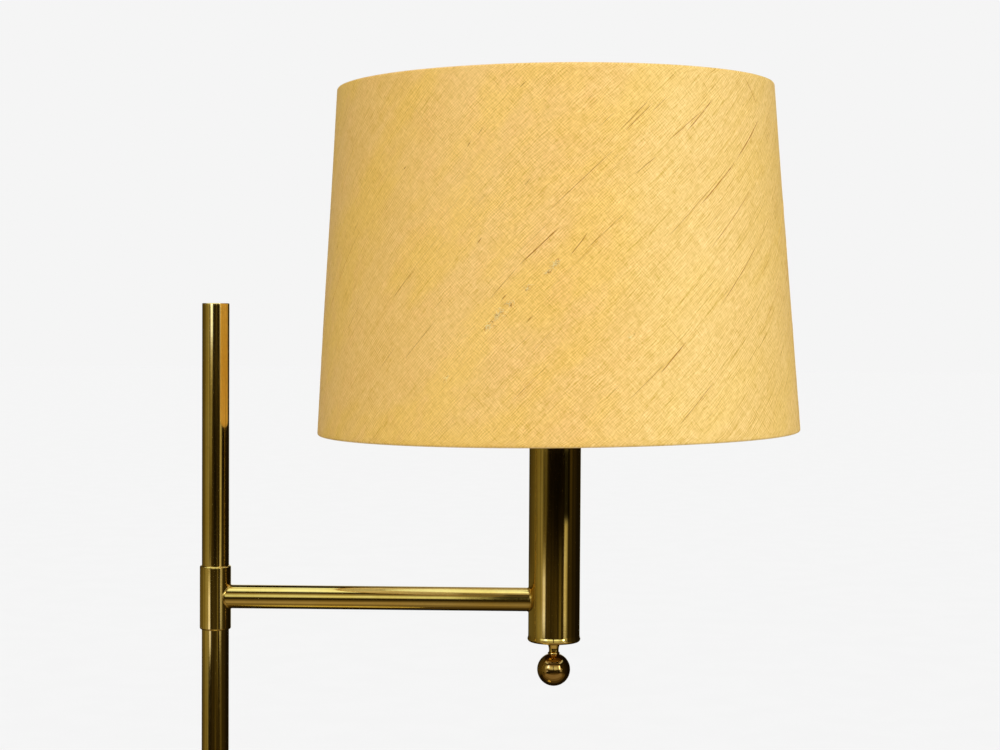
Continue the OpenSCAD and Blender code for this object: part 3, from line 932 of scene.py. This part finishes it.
verts, cut = [], []
section = 0
for th in angles:
    outer, inner = profile(th)
    # the inner layer needs fewer rows on the flat stretch, but keeps them so the layers match
    loop = outer + inner[::-1]
    section = len(loop)
    lift = seam_lift(th)
    for j, (inward, h, flat) in enumerate(loop):
        face = 1.0 if j < len(outer) and inward < 0.0004 else 0.0
        out_by = -inward + (ripple(th, h) + lift) * face
        verts.append(on_drum(th, h, out_by))
        s_, psi = APEX - flat, th * SIN_B
        cut.append((s_ * math.sin(psi), APEX - s_ * math.cos(psi)))
faces = []
n = len(angles)
for i in range(n):
    k = (i + 1) % n
    for j in range(section):
        m_ = (j + 1) % section
        faces.append((i * section + j, k * section + j, k * section + m_, i * section + m_))
shade = new_mesh("shade_silk", verts, faces, silk)
uvs = shade.data.uv_layers.new(name="cut")
psi_all = 2 * math.pi * SIN_B
for poly in shade.data.polygons:
    us = [cut[shade.data.vertices[v].index] for v in poly.vertices]
    wrap = max(u[0] for u in us) - min(u[0] for u in us) > 0.5
    for li, v in zip(poly.loop_indices, poly.vertices):
        u = cut[v]
        if wrap and u[0] < 0:
            # the last column runs on to the seam, so its far side is the next turn of the cut
            px, py = u[0], APEX - u[1]
            c_, s2 = math.cos(psi_all), math.sin(psi_all)
            u = (px * c_ + py * s2, APEX - (py * c_ - px * s2))
        uvs.data[li].uv = u
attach(shade, "arm")
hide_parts("shade_fabric")
cloth_only.objects.link(shade)


# ---------------------------------------------------------------- slubs: thick threads that stand on the cloth
slub_v, slub_f, slub_tone = [], [], []


def add_slub(points, width, height, tone, uneven, r_):
    """A low ridge along flat points, tapered to its ends and uneven along its length."""
    ring_n = 5
    base = len(slub_v)
    m = len(points)
    for i, (x, y) in enumerate(points):
        f = i / (m - 1)
        taper = min(1.0, f * 5 + 0.12, (1 - f) * 5 + 0.12)
        swell = taper * (1 + uneven * r_.uniform(-1, 1))
        x2, y2 = points[min(i + 1, m - 1)]
        x1, y1 = points[max(i - 1, 0)]
        dx, dy = x2 - x1, y2 - y1
        ln = math.hypot(dx, dy) or 1.0
        nx, ny = -dy / ln, dx / ln
        for k in range(ring_n):
            a = math.pi * k / (ring_n - 1)
            sx = math.cos(a) * width / 2 * swell
            th, h = from_flat(x + nx * sx, y + ny * sx)
            up = math.sin(a) * height * swell
            if k in (0, ring_n - 1):
                up = -0.00015
            slub_v.append(on_drum(th, h, up + ripple(th, h)))
            slub_tone.append(tone)
    for i in range(m - 1):
        for k in range(ring_n):
            a, b = base + i * ring_n + k, base + i * ring_n + (k + 1) % ring_n
            slub_f.append((a, b, b + ring_n, a + ring_n))
    slub_f.append(tuple(base + k for k in range(ring_n))[::-1])
    slub_f.append(tuple(base + (m - 1) * ring_n + k for k in range(ring_n)))


def line(x0, y0, x1, y1, r_, step=0.005, wander=0.00012):
    ln = math.hypot(x1 - x0, y1 - y0)
    m = max(3, int(ln / step) + 1)
    nx, ny = -(y1 - y0) / ln, (x1 - x0) / ln
    amp = [wander * r_.uniform(-1, 1) for _ in range(3)]
    pts = []
    for i in range(m):
        f = i / (m - 1)
        off = sum(a * math.sin(math.pi * (k + 1) * f) for k, a in enumerate(amp))
        pts.append((x0 + (x1 - x0) * f + nx * off, y0 + (y1 - y0) * f + ny * off))
    return pts


def inside_cloth(x, y):
    th, h = from_flat(x, y)
    return abs(th) < math.pi - 0.04 and 0.004 < h < SH - 0.004


rs = random.Random(29)
# the ones that stand out on the front, in millimetres on the flat cloth
MARKED = [
    (-31, 152, 3, 183, 0.9, 0.05),
    (-57, 124, -33, 150, 0.6, 0.2),
    (11, 159, 26, 178, 0.7, 0.1),
    (54, 264, 79, 289, 0.7, 0.05),
    (58, 263, 84, 288, 0.6, 0.1),
    (99, 258, 132, 284, 0.6, 0.1),
    (116, 266, 146, 296, 0.8, 0.0),
    (130, 205, 174, 246, 0.8, 0.05),
    (174, 246, 216, 288, 0.8, 0.0),
    (66, 227, 86, 243, 0.6, 0.1),
    (96, 176, 140, 219, 0.6, 0.2),
    (140, 168, 196, 224, 0.6, 0.15),
    (150, 120, 205, 178, 0.7, 0.1),
    (88, 62, 112, 88, 0.8, 0.0),
    (60, 40, 94, 72, 0.6, 0.2),
    (104, 18, 142, 56, 0.6, 0.1),
    (-135, 296, -92, 252, 0.35, 0.4),
    (-92, 252, -54, 213, 0.3, 0.4),
    (-30, 299, -24, 305, 0.7, 0.0),
    (-66, 262, -61, 268, 0.7, 0.0),
    (-76, 252, -72, 257, 0.8, 0.0),
    (-26, 218, -21, 224, 0.8, 0.0),
    (-68, 170, -63, 176, 0.8, 0.0),
    (-47, 123, -42, 128, 0.8, 0.0),
    (-26, 104, -20, 110, 0.8, 0.0),
    (-140, 238, -137, 241, 0.9, 0.0),
]
for x0, y0, x1, y1, wd, tone in MARKED:
    pts = line(x0 / 1000, y0 / 1000, x1 / 1000, y1 / 1000, rs, 0.004)
    add_slub(pts, wd / 1000, wd / 1000 * 0.34, tone, 0.25, rs)
# the rest, all round: more and longer ones in the weft than in the warp
done = 0
while done < 320:
    th = rs.uniform(-math.pi, math.pi)
    h = rs.uniform(0.004, SH - 0.004)
    x, y = to_flat(th, h)
    weft = rs.random() < 0.86
    ang = math.radians((44 if weft else -45) + rs.gauss(0, 0.6))
    ln = min(0.16, 0.006 + rs.expovariate(1 / (0.032 if weft else 0.018)))
    x1, y1 = x + ln * math.cos(ang), y + ln * math.sin(ang)
    if not inside_cloth(x, y) or not inside_cloth(x1, y1):
        continue
    wd = rs.choice((0.22, 0.25, 0.3, 0.4, 0.55)) / 1000
    tone = rs.choice((0.1, 0.2, 0.35, 0.5, 0.6, 0.7))
    add_slub(line(x, y, x1, y1, rs), wd, wd * 0.34, tone, 0.35, rs)
    done += 1
slubs = new_mesh("shade_slubs", slub_v, slub_f, thread_mat)
tone_attr = slubs.data.attributes.new("tone", "FLOAT", "POINT")
tone_attr.data.foreach_set("value", slub_tone)
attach(slubs, "arm")
cloth_only.objects.link(slubs)

# ---------------------------------------------------------------- frayed places: short broken fibres
fray_v, fray_f, fray_tone = [], [], []


def add_fibre(x, y, ang, ln, radius, lift, curl, r_, tone):
    base, m, ring_n = len(fray_v), 6, 5
    pts = []
    for i in range(m):
        f = i / (m - 1)
        a = ang + curl * f
        px, py = x + math.cos(a) * ln * f, y + math.sin(a) * ln * f
        th, h = from_flat(px, py)
        pts.append(on_drum(th, h, -0.0001 + lift * math.sin(math.pi * min(1.0, f * 1.15))))
    for i, p in enumerate(pts):
        d = (pts[min(i + 1, m - 1)] - pts[max(i - 1, 0)]).normalized()
        side_ = d.cross(Vector((0.13, 0.57, 0.81))).normalized()
        up = d.cross(side_)
        rr = radius * (1.0 - 0.6 * i / (m - 1))
        for k in range(ring_n):
            a = 2 * math.pi * k / ring_n
            fray_v.append(p + side_ * math.cos(a) * rr + up * math.sin(a) * rr)
            fray_tone.append(tone)
    for i in range(m - 1):
        for k in range(ring_n):
            a, b = base + i * ring_n + k, base + i * ring_n + (k + 1) % ring_n
            fray_f.append((a, b, b + ring_n, a + ring_n))
    fray_f.append(tuple(base + k for k in range(ring_n))[::-1])
    fray_f.append(tuple(base + (m - 1) * ring_n + k for k in range(ring_n)))


rf = random.Random(5)
# centre on the flat cloth and spread along and across the weft, in millimetres, and the number of fibres
FRAYS = [
    (-58, 102, 4, 2.2, 26),
    (-49, 111, 6, 2.4, 46),
    (-40, 120, 3, 1.6, 14),
    (-8, 146, 2.5, 1.0, 10),
    (-2, 152, 5, 1.4, 30),
    (-25, 133, 2.5, 1.2, 12),
    (62, 92, 3, 1.0, 8),
    (-96, 60, 2, 1.0, 6),
]
for cx, cy, along, across, count in FRAYS:
    for _ in range(count):
        u_, v_ = rf.gauss(0, along / 2), rf.gauss(0, across / 2)
        a44 = math.radians(44)
        x = (cx + u_ * math.cos(a44) - v_ * math.sin(a44)) / 1000
        y = (cy + u_ * math.sin(a44) + v_ * math.cos(a44)) / 1000
        add_fibre(
            x,
            y,
            math.radians(44 + rf.choice((0, 180)) + rf.gauss(0, 40)),
            rf.uniform(0.0014, 0.0046),
            rf.uniform(0.00016, 0.00032),
            rf.uniform(0.0002, 0.0007),
            rf.uniform(-1.6, 1.6),
            rf,
            rf.choice((0.1, 1.0, 1.0, 1.0, 1.0, 1.0)),
        )
frays = new_mesh("shade_frays", fray_v, fray_f, thread_mat)
tone_attr = frays.data.attributes.new("tone", "FLOAT", "POINT")
tone_attr.data.foreach_set("value", fray_tone)
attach(frays, "arm")
cloth_only.objects.link(frays)

# ---------------------------------------------------------------- brazed joints of the arm
ARM_R, COLLAR_R, HEAD_R, ARM_Z = 0.0111, 0.0146, 0.0242, 1.0


def fillet(name, axis_x, big_r, sign, size):
    """A small concave fillet where the level tube meets an upright one of radius big_r at axis_x."""
    count, steps = 96, 5
    verts, faces = [], []
    for i in range(count):
        phi = 2 * math.pi * i / count
        e = size * (1 + 0.12 * math.sin(3 * phi + 1) + 0.08 * math.sin(7 * phi))

        def upright(yy, zz):
            return Vector((axis_x + sign * math.sqrt(big_r**2 - yy**2), yy, ARM_Z + zz))

        j = upright(ARM_R * math.cos(phi), ARM_R * math.sin(phi))
        on_arm = j + Vector((sign * e, 0, 0))
        wide = ARM_R + e
        yb = max(-big_r * 0.995, min(big_r * 0.995, wide * math.cos(phi)))
        on_big = upright(yb, wide * math.sin(phi))
        deep = j + Vector((-sign * 0.0002, 0, 0)) - Vector(
            (0, math.cos(phi), math.sin(phi))
        ) * 0.0002
        prof = []
        for k in range(steps + 1):
            f = k / steps
            mid = j + (on_arm + on_big - 2 * j) * 0.12
            prof.append(on_arm * (1 - f) ** 2 + mid * 2 * f * (1 - f) + on_big * f**2)
        prof.append(deep)
        verts.extend(prof)
    m = steps + 2
    for i in range(count):
        k = (i + 1) % count
        for j_ in range(m):
            l = (j_ + 1) % m
            q = (i * m + j_, i * m + l, k * m + l, k * m + j_)
            faces.append(q if sign > 0 else q[::-1])
    ob = new_mesh(name, verts, faces, brass_turned)
    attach(ob, "arm")
    return ob


fillet("braze_collar", 0.0, COLLAR_R, 1, 0.0010)
fillet("braze_head", REACH, HEAD_R, -1, 0.0010)
